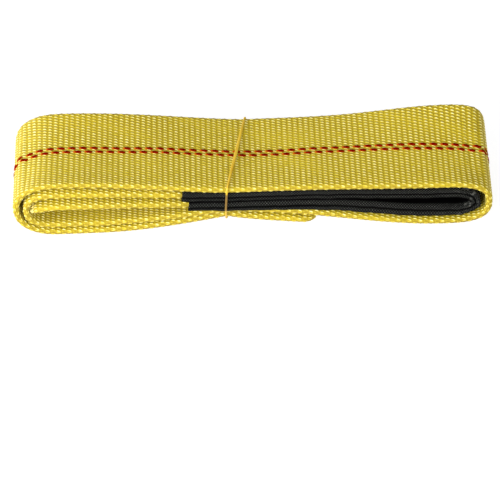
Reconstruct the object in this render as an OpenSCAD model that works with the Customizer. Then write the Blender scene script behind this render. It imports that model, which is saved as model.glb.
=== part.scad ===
// Flat web sling, wound flat round its sleeved eye and held by an elastic band.
// +X runs along the bundle, +Y across the webbing, away from the viewer, and +Z up from the floor.

/* [Webbing] */
// Width of the webbing
web_w = 50; // [40:1:60]
// Thickness of the webbing
web_t = 3.2; // [2.6:0.1:3.8]
// Rounding of the woven edges
selvedge_r = 1; // [0.5:0.1:1.2]
// Width of a tracer yarn
tracer_w = 1.5; // [1:0.1:2]
// Distance between the middles of the two tracer yarns
tracer_space = 2.6; // [2.2:0.1:6]
// Height of a tracer yarn above the weave
tracer_proud = 0.18; // [0.1:0.01:0.25]

/* [Wound bundle] */
// Length over the two folded ends
bundle_l = 231; // [215:1:260]
// Least clearance between neighbouring turns
turn_gap = 0.5; // [0.45:0.05:0.9]
// Height of the left end at its front edge
left_h = 32; // [30:0.5:40]
// Length of the rounded left end
left_bend_l = 21.7; // [19:0.1:28]
// Length of the rounded right end
right_bend_l = 20.6; // [18:0.1:25]
// Clear space between the outer and the inner turn at the tip of the left end
inner_tip_gap = 1.7; // [1.5:0.1:4]
// Slack between the turns at the left end
left_slack = 1.1; // [0.4:0.1:2]
// Slack between the loose end and the turn above it at the left end
return_slack = 0.3; // [0.2:0.1:2]
// Rise of the back edge over the front edge at the left end
left_back_rise = 2.5; // [0:0.1:4]
// Rise of the back edge of the top turn at the right end
right_back_rise = 8; // [0:0.1:10]
// Depth of the flats on which the bundle rests
flat_cut = 0.5; // [0.3:0.05:0.6]

/* [Waist] */
// Place of the waist, from the middle of the bundle
waist_x = -7.2; // [-20:0.1:10]
// Height of the waist above the floor
waist_lift = 4; // [3:0.1:7]
// Step of the lowest turn towards the viewer at the right end
return_front = 3; // [0:0.1:4]
// Set-back of the lowest turn at the waist
waist_back = 3.4; // [0:0.1:4.5]
// Set-back of the eye's two legs at the waist
eye_back = 1; // [0:0.1:2]
// Rise of the back edge of the top turn at the waist
waist_back_rise = 1.3; // [0:0.1:2]

/* [Eye] */
// Open height of the eye between its two sleeved legs
eye_gap = 6.2; // [6:0.5:12]
// Slack below the eye
eye_lift = 0.6; // [0.5:0.1:3]
// Clear space between the tip of the eye and the outer turn
eye_tip_gap = 2.4; // [2:0.1:8]
// Wall of the sleeve
sleeve_t = 0.6; // [0.5:0.05:1.1]
// Clearance between the webbing and its sleeve
sleeve_gap = 0.25; // [0.2:0.05:0.5]
// Depth of the crease along each edge of the sleeve
crease_d = 0.45; // [0.2:0.05:0.5]
// Distance from the waist to the end of the sleeve on the upper leg
upper_sleeve_l = 26.8; // [15:0.1:30]
// Distance from the waist to the end of the sleeve on the lower leg
lower_sleeve_l = 23.8; // [15:0.1:30]

/* [Ends] */
// Length of the loose outer end past the waist
free_l = 38.8; // [30:0.1:50]
// Drop of the loose end below the waist
free_drop = 3.7; // [1:0.1:3.9]
// Corner radius of the loose end
free_corner_r = 8; // [3:0.5:10]
// Distance that the cut tail runs into the left end
tail_l = 11; // [4:0.1:11.5]
// Overhang of the tail in front of the top turn
tail_overhang = 4; // [0:0.1:5]
// Overhang of the turn above the tail
upper_overhang = 2; // [0:0.1:4]
// Slack of the tail's front edge
tail_slack = 2; // [0:0.1:2.5]
// Dip of the cut end of the tail below the inner turn
tail_dip = 1.8; // [0.5:0.1:3]

/* [Splice seams] */
// Lengthwise seams
seam_count = 4; // [2:1:4]
// Distance of the outer seams from the woven edge
seam_edge = 7; // [5:0.5:10]
// Length of one stitch
stitch_l = 5.5; // [4:0.5:7]
// Thickness of the sewing thread
thread_d = 0.9; // [0.6:0.1:1]
// Distance of the splice from the end of the sleeve
splice_inset = 7; // [5:0.5:10]

/* [Elastic band] */
// Width of the elastic band
band_w = 1.2; // [1:0.1:4]
// Thickness of the elastic band
band_t = 0.6; // [0.5:0.1:1.5]
// Clearance inside the elastic band
band_gap = 0.3; // [0.2:0.05:0.5]
// Slant of the band and the waist across the webbing, in degrees
band_slant = 11; // [4:1:15]
// Lean of the band along the bundle, in degrees
band_lean = 4; // [0:0.5:6]

/* [Hidden] */

web_yellow = "#d8b92c";
tracer_red = "#b5352a";
sleeve_black = "#26262a";
thread_yellow = "#d9c255";
band_orange = "#e0a02c";

// Turns of the bundle, from the lowest to the top one
FREE = 0;
RETURN = 1;
LOWER = 2;
UPPER = 3;
TOP = 4;

// A route's station holds x, y, the front edge's z, the back edge's z and the inset of both edges
FRONT = 2;
BACK = 3;

pitch = web_t + turn_gap;
cover = sleeve_gap + sleeve_t;
floor_z = web_t / 2 - flat_cut;
left_bend_x = left_bend_l - bundle_l / 2;
right_bend_x = bundle_l / 2 - right_bend_l;

// Heights of the turns' front edges at the left end, the waist and the right end
left_top_z = left_h - web_t / 2;
left_upper_z = left_top_z - pitch - left_slack;
left_lower_z = left_upper_z - pitch - tail_slack;
left_z = [floor_z, floor_z + pitch + return_slack, left_lower_z, left_upper_z, left_top_z];
waist_free_z = waist_lift + web_t / 2;
waist_lower_z = waist_free_z + 2 * pitch + cover;
waist_upper_z = waist_lower_z + pitch + 2 * cover;
waist_z = [
    waist_free_z, waist_free_z + pitch, waist_lower_z, waist_upper_z, waist_upper_z + pitch + cover
];
right_lower_z = floor_z + pitch + cover + eye_lift;
right_upper_z = right_lower_z + web_t + 2 * cover + eye_gap;
right_z = [
    waist_free_z - free_drop, floor_z, right_lower_z, right_upper_z, right_upper_z + pitch + cover
];

// Rise of each turn's back edge over its front edge
lower_rise_share = 0.1;
upper_rise_share = 0.52;
left_rise = [0, 0, left_back_rise + tail_slack, left_back_rise, left_back_rise];
waist_rise = [0, 0, 0, 0, waist_back_rise];
right_rise = [0, 0, lower_rise_share * right_back_rise, upper_rise_share * right_back_rise, right_back_rise];
left_back_z = left_z + left_rise;
waist_back_z = waist_z + waist_rise;
right_back_z = right_z + right_rise;

// Shift of each turn across the bundle
free_front = 0.8;
return_back_share = 0.7;
left_drift = [-free_front, 0, -tail_overhang, -upper_overhang, 0];
waist_drift = [waist_back, waist_back * return_back_share, eye_back, eye_back, 0];
right_drift = [0, -return_front, 0, 0, 0];

// How fast each turn leaves the waist
left_reach = [0.8, 0.8, 1, 1, 1];
left_power = [1, 1, 1.4, 1.4, 1.4];
right_power = [1, 2.6, 3.5, 3.5, 3.5];
right_back_power = [1, 2.6, 3.5, 3.5, 5];
drift_power = [1, 1.2, 3.5, 3.5, 3.5];
free_power = 0.7;

// Left and right bends of the webbing's middle line
left_bend_a = left_bend_l - web_t / 2;
right_bend_a = right_bend_l - web_t / 2;
inner_bend_a = left_bend_a - web_t - inner_tip_gap;
left_fullness = [2.25, 2.3];
right_fullness = [2.8, 4];
inner_fullness = [2.5, 2.5];
ellipse = [2, 2];
sleeve_half_t = web_t / 2 + cover;
eye_half_h = (right_upper_z - right_lower_z) / 2;
eye_tightness = 1.33;
eye_bend_a = eye_half_h ^ 2 / (eye_tightness * sleeve_half_t);
eye_bend_x = right_bend_x + right_bend_a - web_t / 2 - eye_tip_gap - sleeve_half_t - eye_bend_a;

// The waist is slanted, so the front edges reach it first
waist_skew = web_w / 2 * tan(band_slant);
front_waist_x = waist_x - waist_skew;
back_waist_x = waist_x + waist_skew;

upper_sleeve_x = waist_x - upper_sleeve_l;
lower_sleeve_x = waist_x - lower_sleeve_l;
tail_x = left_bend_x - tail_l;
free_x = waist_x + free_l;

left_steps = 7;
right_steps = 12;
sleeve_steps = 3;
waist_steps = 3;
bend_steps = 12;
corner_steps = 4;

function mix(a, b, share) = a + (b - a) * share;
function ease(share, power) = sin(90 * min(1, share)) ^ power;

// A value of one turn at x, from its values at the left end, the waist and the right end
function on_turn(turn, x, waist_at, left, waist, right, powers) =
    x < waist_at
    ? let (share = (waist_at - x) / (waist_at - left_bend_x) / left_reach[turn])
        mix(waist[turn], left[turn], ease(share, left_power[turn]))
    : turn == FREE
    ? mix(waist[turn], right[turn], ((x - waist_at) / (free_x - waist_at)) ^ free_power)
    : let (share = (x - waist_at) / (right_bend_x - waist_at))
        mix(waist[turn], right[turn], ease(share, powers[turn]));

// How far the tail has run into the left end, from 0 to 1
function tail_share(turn, x) = turn == LOWER ? max(0, left_bend_x - x) / tail_l : 0;

function station(turn, x, inset = 0) =
    let (
        dipped = tail_share(turn, x) ^ 2,
        front_z = on_turn(turn, x, front_waist_x, left_z, waist_z, right_z, right_power),
        back_z = on_turn(turn, x, back_waist_x, left_back_z, waist_back_z, right_back_z, right_back_power)
    )
    [
        x,
        on_turn(turn, x, front_waist_x, left_drift, waist_drift, right_drift, drift_power),
        front_z - tail_dip * dipped,
        mix(back_z, front_z, dipped) - tail_dip * dipped,
        inset
    ];

function leg(turn, from_x, to_x, steps, first = 0) =
    [for (i = [first:steps]) station(turn, mix(from_x, to_x, i / steps))];
function next_leg(turn, from_x, to_x, steps) = leg(turn, from_x, to_x, steps, 1);

// A bend's fullness is given for the front edge and the back edge: 2 is an ellipse, and more is squarer
function flank(reach, turned, fullness) =
    sign(cos(turned)) * max(0, 1 - reach ^ fullness) ^ (1 / fullness);
function bend(from_turn, to_turn, from_x, side, length, fullness) =
    let (a = station(from_turn, from_x), b = station(to_turn, from_x))
    [
        for (i = [1:bend_steps - 1])
            let (
                turned = 180 * i / bend_steps,
                reach = sin(turned) ^ (2 / fullness[0])
            )
            [
                from_x + side * length * reach,
                mix(a[1], b[1], i / bend_steps),
                mix(a[FRONT], b[FRONT], (1 - flank(reach, turned, fullness[0])) / 2),
                mix(a[BACK], b[BACK], (1 - flank(reach, turned, fullness[1])) / 2),
                0
            ]
    ];

// The loose end, from its rounded corners over the waist
free_route = concat(
    [
        for (i = [0:corner_steps - 1])
            let (turned = 90 * i / corner_steps)
            station(FREE, free_x - free_corner_r * (1 - cos(turned)), free_corner_r * (1 - sin(turned)))
    ],
    leg(FREE, free_x - free_corner_r, back_waist_x, corner_steps),
    next_leg(FREE, back_waist_x, front_waist_x, waist_steps)
);
wrap_route = concat(
    next_leg(FREE, front_waist_x, left_bend_x, left_steps),
    bend(FREE, TOP, left_bend_x, -1, left_bend_a, left_fullness),
    leg(TOP, left_bend_x, front_waist_x, left_steps),
    next_leg(TOP, front_waist_x, back_waist_x, waist_steps),
    next_leg(TOP, back_waist_x, right_bend_x, right_steps),
    bend(TOP, RETURN, right_bend_x, 1, right_bend_a, right_fullness),
    leg(RETURN, right_bend_x, back_waist_x, right_steps),
    next_leg(RETURN, back_waist_x, front_waist_x, waist_steps),
    next_leg(RETURN, front_waist_x, left_bend_x, left_steps)
);
eye_route = concat(
    leg(UPPER, upper_sleeve_x, front_waist_x, sleeve_steps),
    next_leg(UPPER, front_waist_x, back_waist_x, waist_steps),
    next_leg(UPPER, back_waist_x, eye_bend_x, right_steps),
    bend(UPPER, LOWER, eye_bend_x, 1, eye_bend_a, ellipse),
    leg(LOWER, eye_bend_x, back_waist_x, right_steps),
    next_leg(LOWER, back_waist_x, front_waist_x, waist_steps),
    next_leg(LOWER, front_waist_x, lower_sleeve_x, sleeve_steps)
);
web_route = concat(
    free_route,
    wrap_route,
    bend(RETURN, UPPER, left_bend_x, -1, inner_bend_a, inner_fullness),
    leg(UPPER, left_bend_x, mix(left_bend_x, upper_sleeve_x, 1 - 1 / left_steps), left_steps - 1),
    eye_route,
    next_leg(LOWER, lower_sleeve_x, tail_x, left_steps)
);

// Unit normal of one edge, pointing to the outside of the winding
function edge_normal(route, i, edge) =
    let (
        a = route[max(i - 1, 0)],
        b = route[min(i + 1, len(route) - 1)],
        along = [b[0] - a[0], b[edge] - a[edge]]
    )
    [-along[1], along[0]] / norm(along);

function inset_by(v, inset) = sign(v) * max(0.1, abs(v) - inset);

// A ring's points are [across, outward] from the middle line of the webbing
function ring_points(route, i, ring) =
    let (
        s = route[i],
        front_n = edge_normal(route, i, FRONT),
        back_n = edge_normal(route, i, BACK)
    )
    [
        for (p = ring)
            let (
                across = inset_by(p[0], s[4]),
                share = across / web_w + 0.5,
                n = mix(front_n, back_n, share)
            )
            [s[0] + n[0] * p[1], s[1] + across, mix(s[FRONT], s[BACK], share) + n[1] * p[1]]
    ];

function skin(first, rings, sides) =
    [
        for (i = [0:rings - 2], j = [0:sides - 1])
            let (
                a = first + i * sides + j,
                b = first + i * sides + (j + 1) % sides
            )
            each [[a, a + sides, b], [b, a + sides, b + sides]]
    ];
function flipped(faces) = [for (f = faces) [f[2], f[1], f[0]]];
function fan(first, sides) = [for (j = [1:sides - 2]) [first, first + j, first + j + 1]];
function annulus(outer, inner, sides) =
    [
        for (j = [0:sides - 1])
            let (k = (j + 1) % sides)
            each [[outer + j, outer + k, inner + j], [inner + j, outer + k, inner + k]]
    ];

// A solid strip along a route
module strip(route, ring) {
    sides = len(ring);
    rings = len(route);
    polyhedron(
        [for (i = [0:rings - 1]) each ring_points(route, i, ring)],
        concat(
            skin(0, rings, sides),
            fan(0, sides),
            flipped(fan((rings - 1) * sides, sides))
        )
    );
}

// A hollow sleeve along a route, with as many points in its inner ring as in its outer one
module hollow(route, outer, inner) {
    sides = len(outer);
    rings = len(route);
    last = (rings - 1) * sides;
    inside = rings * sides;
    polyhedron(
        concat(
            [for (i = [0:rings - 1]) each ring_points(route, i, outer)],
            [for (i = [0:rings - 1]) each ring_points(route, i, inner)]
        ),
        concat(
            skin(0, rings, sides),
            flipped(skin(inside, rings, sides)),
            annulus(0, inside, sides),
            flipped(annulus(last, inside + last, sides))
        )
    );
}

// Half a ring has one face of the webbing and its right edge, and the other half is the same turned over
function whole_ring(half) = concat(half, -half);
function flat_ring(half_w, half_t, r) =
    whole_ring([
        [0, -half_t], [half_w - r, -half_t], [half_w, r - half_t],
        [half_w, half_t - r], [half_w - r, half_t]
    ]);
function creased_ring(half_w, half_t, r, crease) =
    whole_ring([
        [0, -half_t], [half_w - r, -half_t], [half_w, r - half_t],
        [half_w - crease, 0], [half_w, half_t - r], [half_w - r, half_t]
    ]);

// Least clear distance between two turns, measured from points to stretches of one edge
function edge_points(route, edge) = [for (s = route) [s[0], s[edge]]];
function to_stretch(p, a, b) =
    let (along = b - a, share = min(1, max(0, (p - a) * along / (along * along))))
    norm(p - a - along * share);
function run(points, i = 0, total = 0) =
    i == len(points) - 1
    ? [total]
    : concat([total], run(points, i + 1, total + norm(points[i + 1] - points[i])));
function least_gap(points, along, apart) =
    min([
        for (i = [0:len(points) - 1], j = [0:len(points) - 2])
            if (min(abs(along[i] - along[j]), abs(along[i] - along[j + 1])) > apart)
                to_stretch(points[i], points[j], points[j + 1])
    ]) - web_t;

module above_floor() {
    difference() {
        children();
        translate([-bundle_l, -web_w, -web_w]) cube([2 * bundle_l, 2 * web_w, web_w]);
    }
}

module webbing() {
    front = edge_points(web_route, FRONT);
    back = edge_points(web_route, BACK);
    near = 4 * web_t;
    echo(least_gap_mm = min(least_gap(front, run(front), near), least_gap(back, run(back), near)));
    echo(webbing_length_mm = run(front)[len(front) - 1]);
    color(web_yellow) above_floor() strip(web_route, flat_ring(web_w / 2, web_t / 2, selvedge_r));
}

module tracer_yarn(across) {
    half_t = web_t / 2 + tracer_proud;
    ring = [
        [across - tracer_w / 2, -half_t], [across + tracer_w / 2, -half_t],
        [across + tracer_w / 2, half_t], [across - tracer_w / 2, half_t]
    ];
    route = [for (s = web_route) [s[0], s[1], s[FRONT], s[BACK], 0]];
    color(tracer_red) above_floor() strip(route, ring);
}

module eye_sleeve() {
    outer_w = web_w / 2 + cover;
    lip_r = sleeve_half_t * 0.45;
    outer = creased_ring(outer_w, sleeve_half_t, lip_r, crease_d);
    inner = creased_ring(outer_w - sleeve_t, web_t / 2 + sleeve_gap, selvedge_r * 0.8, 0);
    color(sleeve_black) hollow(eye_route, outer, inner);
}

// Height on one face of a turn at a place across the bundle
function face_z(turn, x, y, outward) =
    let (s = station(turn, x))
    mix(s[FRONT], s[BACK], (y - s[1]) / web_w + 0.5) + outward;
seam_proud = 0.35;
function seam_top(x, y) = face_z(UPPER, x, y, web_t / 2 + seam_proud);
function seam_foot(x, y) = face_z(LOWER, x, y, -web_t / 2 - seam_proud);

splice_from_x = left_bend_x + 2 * thread_d;
splice_to_x = upper_sleeve_x - splice_inset;
splice_y = (left_drift[LOWER] + left_drift[UPPER]) / 2;

// Lockstitch ladder through both turns: needle thread on top, bobbin thread below, joined at each hole
module ladder(places, tops, feet) {
    last = len(places) - 1;
    linear_extrude(thread_d, center = true)
        difference() {
            polygon(concat(
                [for (i = [0:last]) [places[i], feet[i]]],
                [for (i = [last:-1:0]) [places[i], tops[i]]]
            ));
            for (i = [0:last - 1])
                polygon([
                    [places[i] + thread_d, feet[i] + thread_d],
                    [places[i + 1] - thread_d / 2, feet[i + 1] + thread_d],
                    [places[i + 1] - thread_d / 2, tops[i + 1] - thread_d],
                    [places[i] + thread_d, tops[i] - thread_d]
                ]);
        }
}

module splice_seam(i) {
    span = web_w / 2 - seam_edge;
    y = splice_y + mix(-span, span, i / (seam_count - 1));
    stitches = floor((splice_to_x - splice_from_x) / stitch_l);
    xs = [for (k = [0:stitches]) mix(splice_from_x, splice_to_x, k / stitches)];
    color(thread_yellow)
        translate([0, y, 0])
            rotate([90, 0, 0])
                ladder(xs, [for (x = xs) seam_top(x, y)], [for (x = xs) seam_foot(x, y)]);
}

module cross_tack(x) {
    span = web_w / 2 - seam_edge + thread_d * 2;
    stitches = floor(2 * span / stitch_l);
    ys = [for (k = [0:stitches]) splice_y + mix(-span, span, k / stitches)];
    color(thread_yellow)
        translate([x, 0, 0])
            rotate([90, 0, 90])
                ladder(ys, [for (y = ys) seam_top(x, y)], [for (y = ys) seam_foot(x, y)]);
}

// Points of the stack of turns in the slanted and leaning plane of the elastic band, from edge to edge
band_top_z = waist_z[TOP] + web_t / 2;
function band_lag(z) = (band_top_z - z) * tan(band_lean);
function band_point(turn, side, up, grow) =
    let (
        at = waist_x + side * waist_skew,
        x = at - band_lag(station(turn, at)[FRONT]),
        y = station(turn, x)[1] + side * (web_w / 2 + grow - selvedge_r),
        z = face_z(turn, x, y, up * (web_t / 2 + grow - selvedge_r))
    )
    [(y - band_lag(z) * sin(band_slant)) / cos(band_slant), (z - band_top_z) / cos(band_lean)];
band_points = [
    for (turn = [FREE:TOP], side = [-1:0.25:1], up = [-1, 1])
        band_point(turn, side, up, turn == LOWER || turn == UPPER ? cover : 0)
];

module band_outline(r) {
    hull()
        for (point = band_points)
            translate(point) circle(r, $fn = 24);
}

module elastic_band() {
    color(band_orange)
        translate([waist_x, 0, band_top_z])
            rotate([90, 0, 90 - band_slant])
                rotate([band_lean, 0, 0])
                    linear_extrude(band_w, center = true)
                        difference() {
                            band_outline(selvedge_r + band_gap + band_t);
                            band_outline(selvedge_r + band_gap);
                        }
}

webbing();
tracer_yarn(-tracer_space / 2);  // tracer_yarn_front
tracer_yarn(tracer_space / 2);  // tracer_yarn_rear
eye_sleeve();
splice_seam(0);  // splice_seam_1
splice_seam(1);  // splice_seam_2
splice_seam(2);  // splice_seam_3
splice_seam(3);  // splice_seam_4
cross_tack(splice_to_x + thread_d * 2);  // throat_tack
cross_tack(splice_from_x - thread_d * 2);  // tail_tack
elastic_band();
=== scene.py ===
import math

import bmesh
import bpy
import numpy as np
from mathutils import Matrix, Vector


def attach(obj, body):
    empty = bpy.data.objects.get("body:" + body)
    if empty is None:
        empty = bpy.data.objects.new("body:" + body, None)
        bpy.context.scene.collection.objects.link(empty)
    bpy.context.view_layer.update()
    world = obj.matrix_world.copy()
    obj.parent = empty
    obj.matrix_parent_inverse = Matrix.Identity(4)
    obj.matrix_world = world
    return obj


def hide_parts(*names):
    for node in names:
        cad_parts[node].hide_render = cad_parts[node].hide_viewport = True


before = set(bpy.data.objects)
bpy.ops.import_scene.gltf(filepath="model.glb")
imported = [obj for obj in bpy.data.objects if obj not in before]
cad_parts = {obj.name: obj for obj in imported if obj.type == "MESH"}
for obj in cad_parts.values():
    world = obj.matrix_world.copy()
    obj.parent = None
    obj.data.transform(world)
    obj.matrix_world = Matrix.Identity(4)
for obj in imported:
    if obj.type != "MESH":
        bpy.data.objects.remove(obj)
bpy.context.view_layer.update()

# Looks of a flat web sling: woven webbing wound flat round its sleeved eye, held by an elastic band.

MM = 0.001

# Sizes in millimetres, a count and two angles, the same as the part's
WEB_W = 50.0
WEB_T = 3.2
TRACER_SPACE = 2.6
BUNDLE_L = 231.0
TURN_GAP = 0.5
LEFT_H = 32.0
LEFT_BEND_L = 21.7
RIGHT_BEND_L = 20.6
INNER_TIP_GAP = 1.7
LEFT_SLACK = 1.1
RETURN_SLACK = 0.3
LEFT_BACK_RISE = 2.5
RIGHT_BACK_RISE = 8.0
FLAT_CUT = 0.5
WAIST_X = -7.2
WAIST_LIFT = 4.0
RETURN_FRONT = 3.0
WAIST_BACK = 3.4
EYE_BACK = 1.0
WAIST_BACK_RISE = 1.3
EYE_GAP = 6.2
EYE_LIFT = 0.6
EYE_TIP_GAP = 2.4
SLEEVE_T = 0.6
SLEEVE_GAP = 0.25
UPPER_SLEEVE_L = 26.8
LOWER_SLEEVE_L = 23.8
FREE_L = 38.8
FREE_DROP = 3.7
FREE_CORNER_R = 8.0
TAIL_L = 11.0
TAIL_OVERHANG = 4.0
UPPER_OVERHANG = 2.0
TAIL_SLACK = 2.0
TAIL_DIP = 1.8
SEAM_COUNT = 4
SEAM_EDGE = 7.0
STITCH_L = 5.5
THREAD_D = 0.9
SEAM_PROUD = 0.35
SPLICE_INSET = 7.0
BAND_T = 0.6
BAND_GAP = 0.3
BAND_SLANT = math.radians(11)
BAND_LEAN = math.radians(4)

# Sizes in millimetres that are the scene's own
SELVEDGE_R = 1.3
TRACER_W = 2.0
BAND_W = 1.6
BAND_EDGE_W = 1.0
BAND_INSET = 1.0

# Turns of the bundle, from the lowest to the top one
FREE, RETURN, LOWER, UPPER, TOP = range(5)

PITCH = WEB_T + TURN_GAP
COVER = SLEEVE_GAP + SLEEVE_T
FLOOR_Z = WEB_T / 2 - FLAT_CUT
LEFT_BEND_X = LEFT_BEND_L - BUNDLE_L / 2
RIGHT_BEND_X = BUNDLE_L / 2 - RIGHT_BEND_L
SLEEVE_HALF_T = WEB_T / 2 + COVER

# Heights of the turns' front edges at the left end, the waist and the right end
left_top_z = LEFT_H - WEB_T / 2
left_upper_z = left_top_z - PITCH - LEFT_SLACK
left_lower_z = left_upper_z - PITCH - TAIL_SLACK
LEFT_Z = [FLOOR_Z, FLOOR_Z + PITCH + RETURN_SLACK, left_lower_z, left_upper_z, left_top_z]
waist_free_z = WAIST_LIFT + WEB_T / 2
waist_lower_z = waist_free_z + 2 * PITCH + COVER
waist_upper_z = waist_lower_z + PITCH + 2 * COVER
WAIST_Z = [
    waist_free_z, waist_free_z + PITCH, waist_lower_z, waist_upper_z, waist_upper_z + PITCH + COVER,
]
right_lower_z = FLOOR_Z + PITCH + COVER + EYE_LIFT
right_upper_z = right_lower_z + WEB_T + 2 * COVER + EYE_GAP
RIGHT_Z = [
    waist_free_z - FREE_DROP, FLOOR_Z, right_lower_z, right_upper_z, right_upper_z + PITCH + COVER,
]

# Rise of each turn's back edge over its front edge
LOWER_RISE_SHARE = 0.1
UPPER_RISE_SHARE = 0.52
LEFT_RISE = [0, 0, LEFT_BACK_RISE + TAIL_SLACK, LEFT_BACK_RISE, LEFT_BACK_RISE]
WAIST_RISE = [0, 0, 0, 0, WAIST_BACK_RISE]
RIGHT_RISE = [
    0, 0, LOWER_RISE_SHARE * RIGHT_BACK_RISE, UPPER_RISE_SHARE * RIGHT_BACK_RISE, RIGHT_BACK_RISE,
]
LEFT_BACK_Z = [z + rise for z, rise in zip(LEFT_Z, LEFT_RISE)]
WAIST_BACK_Z = [z + rise for z, rise in zip(WAIST_Z, WAIST_RISE)]
RIGHT_BACK_Z = [z + rise for z, rise in zip(RIGHT_Z, RIGHT_RISE)]

# Shift of each turn across the bundle
FREE_FRONT = 0.8
RETURN_BACK_SHARE = 0.7
LEFT_DRIFT = [-FREE_FRONT, 0, -TAIL_OVERHANG, -UPPER_OVERHANG, 0]
WAIST_DRIFT = [WAIST_BACK, WAIST_BACK * RETURN_BACK_SHARE, EYE_BACK, EYE_BACK, 0]
RIGHT_DRIFT = [0, -RETURN_FRONT, 0, 0, 0]

# How fast each turn leaves the waist
LEFT_REACH = [0.8, 0.8, 1, 1, 1]
LEFT_POWER = [1, 1, 1.4, 1.4, 1.4]
RIGHT_POWER = [1, 2.6, 3.5, 3.5, 3.5]
RIGHT_BACK_POWER = [1, 2.6, 3.5, 3.5, 5]
DRIFT_POWER = [1, 1.2, 3.5, 3.5, 3.5]
FREE_POWER = 0.7

# How deep the middle of the top turn sinks between its edges, at places along x
TOP_SUNK = (
    (-114.5, 0.0), (-112, 1.4), (-106, 1.7), (-94, 1.6), (-62, 1.35), (-45, 0.35),
    (-18, 0.2), (2, 0.8), (14, 0.8), (30, 0.1), (55, 0.2), (75, 0.75),
    (91, 1.9), (100, 2.6), (107, 2.8), (113, 1.2), (114.5, 0.0),
)

# Bends of the webbing's middle line: their lengths, and their fullness at the front and the back edge
LEFT_BEND_A = LEFT_BEND_L - WEB_T / 2
RIGHT_BEND_A = RIGHT_BEND_L - WEB_T / 2
INNER_BEND_A = LEFT_BEND_A - WEB_T - INNER_TIP_GAP
LEFT_FULLNESS = (2.25, 2.3)
RIGHT_FULLNESS = (2.8, 4.0)
INNER_FULLNESS = (2.5, 2.5)
ELLIPSE = (2.0, 2.0)
EYE_TIGHTNESS = 1.33
EYE_BEND_A = ((right_upper_z - right_lower_z) / 2) ** 2 / (EYE_TIGHTNESS * SLEEVE_HALF_T)
EYE_BEND_X = RIGHT_BEND_X + RIGHT_BEND_A - WEB_T / 2 - EYE_TIP_GAP - SLEEVE_HALF_T - EYE_BEND_A

# Places along x
UPPER_SLEEVE_X = WAIST_X - UPPER_SLEEVE_L
LOWER_SLEEVE_X = WAIST_X - LOWER_SLEEVE_L
TAIL_X = LEFT_BEND_X - TAIL_L
FREE_X = WAIST_X + FREE_L

# The waist is slanted: it lies further left on the front edges than on the back edges
WAIST_SKEW = WEB_W / 2 * math.tan(BAND_SLANT)
FRONT_WAIST_X = WAIST_X - WAIST_SKEW
BACK_WAIST_X = WAIST_X + WAIST_SKEW

# Camera, fitted to the photograph's square frame
FRAME_PX = 500
CAMERA_AIM = Vector((0, 0, 0.015))
CAMERA_FAR = 1.35
CAMERA_AZIMUTH = math.radians(-0.3)
CAMERA_ELEVATION = math.radians(42)
CAMERA_ROLL = math.radians(-1.88)
CAMERA_LENS = 199.3
CAMERA_SENSOR = 36.0
CAMERA_CLIP = (0.05, 20)
AIM_ABOVE_MIDDLE = 80.69 / FRAME_PX
AIM_RIGHT_OF_MIDDLE = 1.43 / FRAME_PX


def add_camera():
    data = bpy.data.cameras.new("camera")
    data.lens = CAMERA_LENS
    data.sensor_width = CAMERA_SENSOR
    data.clip_start, data.clip_end = CAMERA_CLIP
    camera = bpy.data.objects.new("camera", data)
    bpy.context.collection.objects.link(camera)
    level = math.cos(CAMERA_ELEVATION) * CAMERA_FAR
    place = CAMERA_AIM + Vector((
        math.sin(CAMERA_AZIMUTH) * level,
        -math.cos(CAMERA_AZIMUTH) * level,
        math.sin(CAMERA_ELEVATION) * CAMERA_FAR,
    ))
    pitch = math.atan(AIM_ABOVE_MIDDLE * CAMERA_SENSOR / CAMERA_LENS)
    yaw = math.atan(AIM_RIGHT_OF_MIDDLE * CAMERA_SENSOR / CAMERA_LENS)
    turn = (
        Matrix.Rotation(CAMERA_AZIMUTH, 4, "Z")
        @ Matrix.Rotation(math.pi / 2 - CAMERA_ELEVATION, 4, "X")
        @ Matrix.Rotation(CAMERA_ROLL, 4, "Z")
        @ Matrix.Rotation(-pitch, 4, "X")
        @ Matrix.Rotation(yaw, 4, "Y")
    )
    camera.matrix_world = Matrix.Translation(place) @ turn
    bpy.context.scene.camera = camera


# The winding

LEG_STEPS = 160
BEND_STEPS = 120


def mix(a, b, share):
    return a + (b - a) * share


def ease(share, power):
    return math.sin(math.pi / 2 * min(1, share)) ** power


def on_turn(turn, x, waist_at, left, waist, right, powers):
    """A value of one turn at x, from its values at the left end, the waist and the right end."""
    if x < waist_at:
        share = (waist_at - x) / (waist_at - LEFT_BEND_X) / LEFT_REACH[turn]
        return mix(waist[turn], left[turn], ease(share, LEFT_POWER[turn]))
    if turn == FREE:
        return mix(waist[turn], right[turn], ((x - waist_at) / (FREE_X - waist_at)) ** FREE_POWER)
    return mix(waist[turn], right[turn], ease((x - waist_at) / (RIGHT_BEND_X - waist_at), powers[turn]))


def station(turn, x):
    """x, y, the front edge's z and the back edge's z of one turn."""
    dipped = (max(0, LEFT_BEND_X - x) / TAIL_L) ** 2 if turn == LOWER else 0
    front_z = on_turn(turn, x, FRONT_WAIST_X, LEFT_Z, WAIST_Z, RIGHT_Z, RIGHT_POWER)
    back_z = on_turn(turn, x, BACK_WAIST_X, LEFT_BACK_Z, WAIST_BACK_Z, RIGHT_BACK_Z, RIGHT_BACK_POWER)
    drift = on_turn(turn, x, FRONT_WAIST_X, LEFT_DRIFT, WAIST_DRIFT, RIGHT_DRIFT, DRIFT_POWER)
    dip = TAIL_DIP * dipped
    return [x, drift, front_z - dip, mix(back_z, front_z, dipped) - dip]


def leg(turn, from_x, to_x):
    return [station(turn, x) for x in np.linspace(from_x, to_x, LEG_STEPS + 1)[:-1]]


def flank(reach, turned, fullness):
    return math.copysign(max(0, 1 - reach ** fullness) ** (1 / fullness), math.cos(turned))


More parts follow.
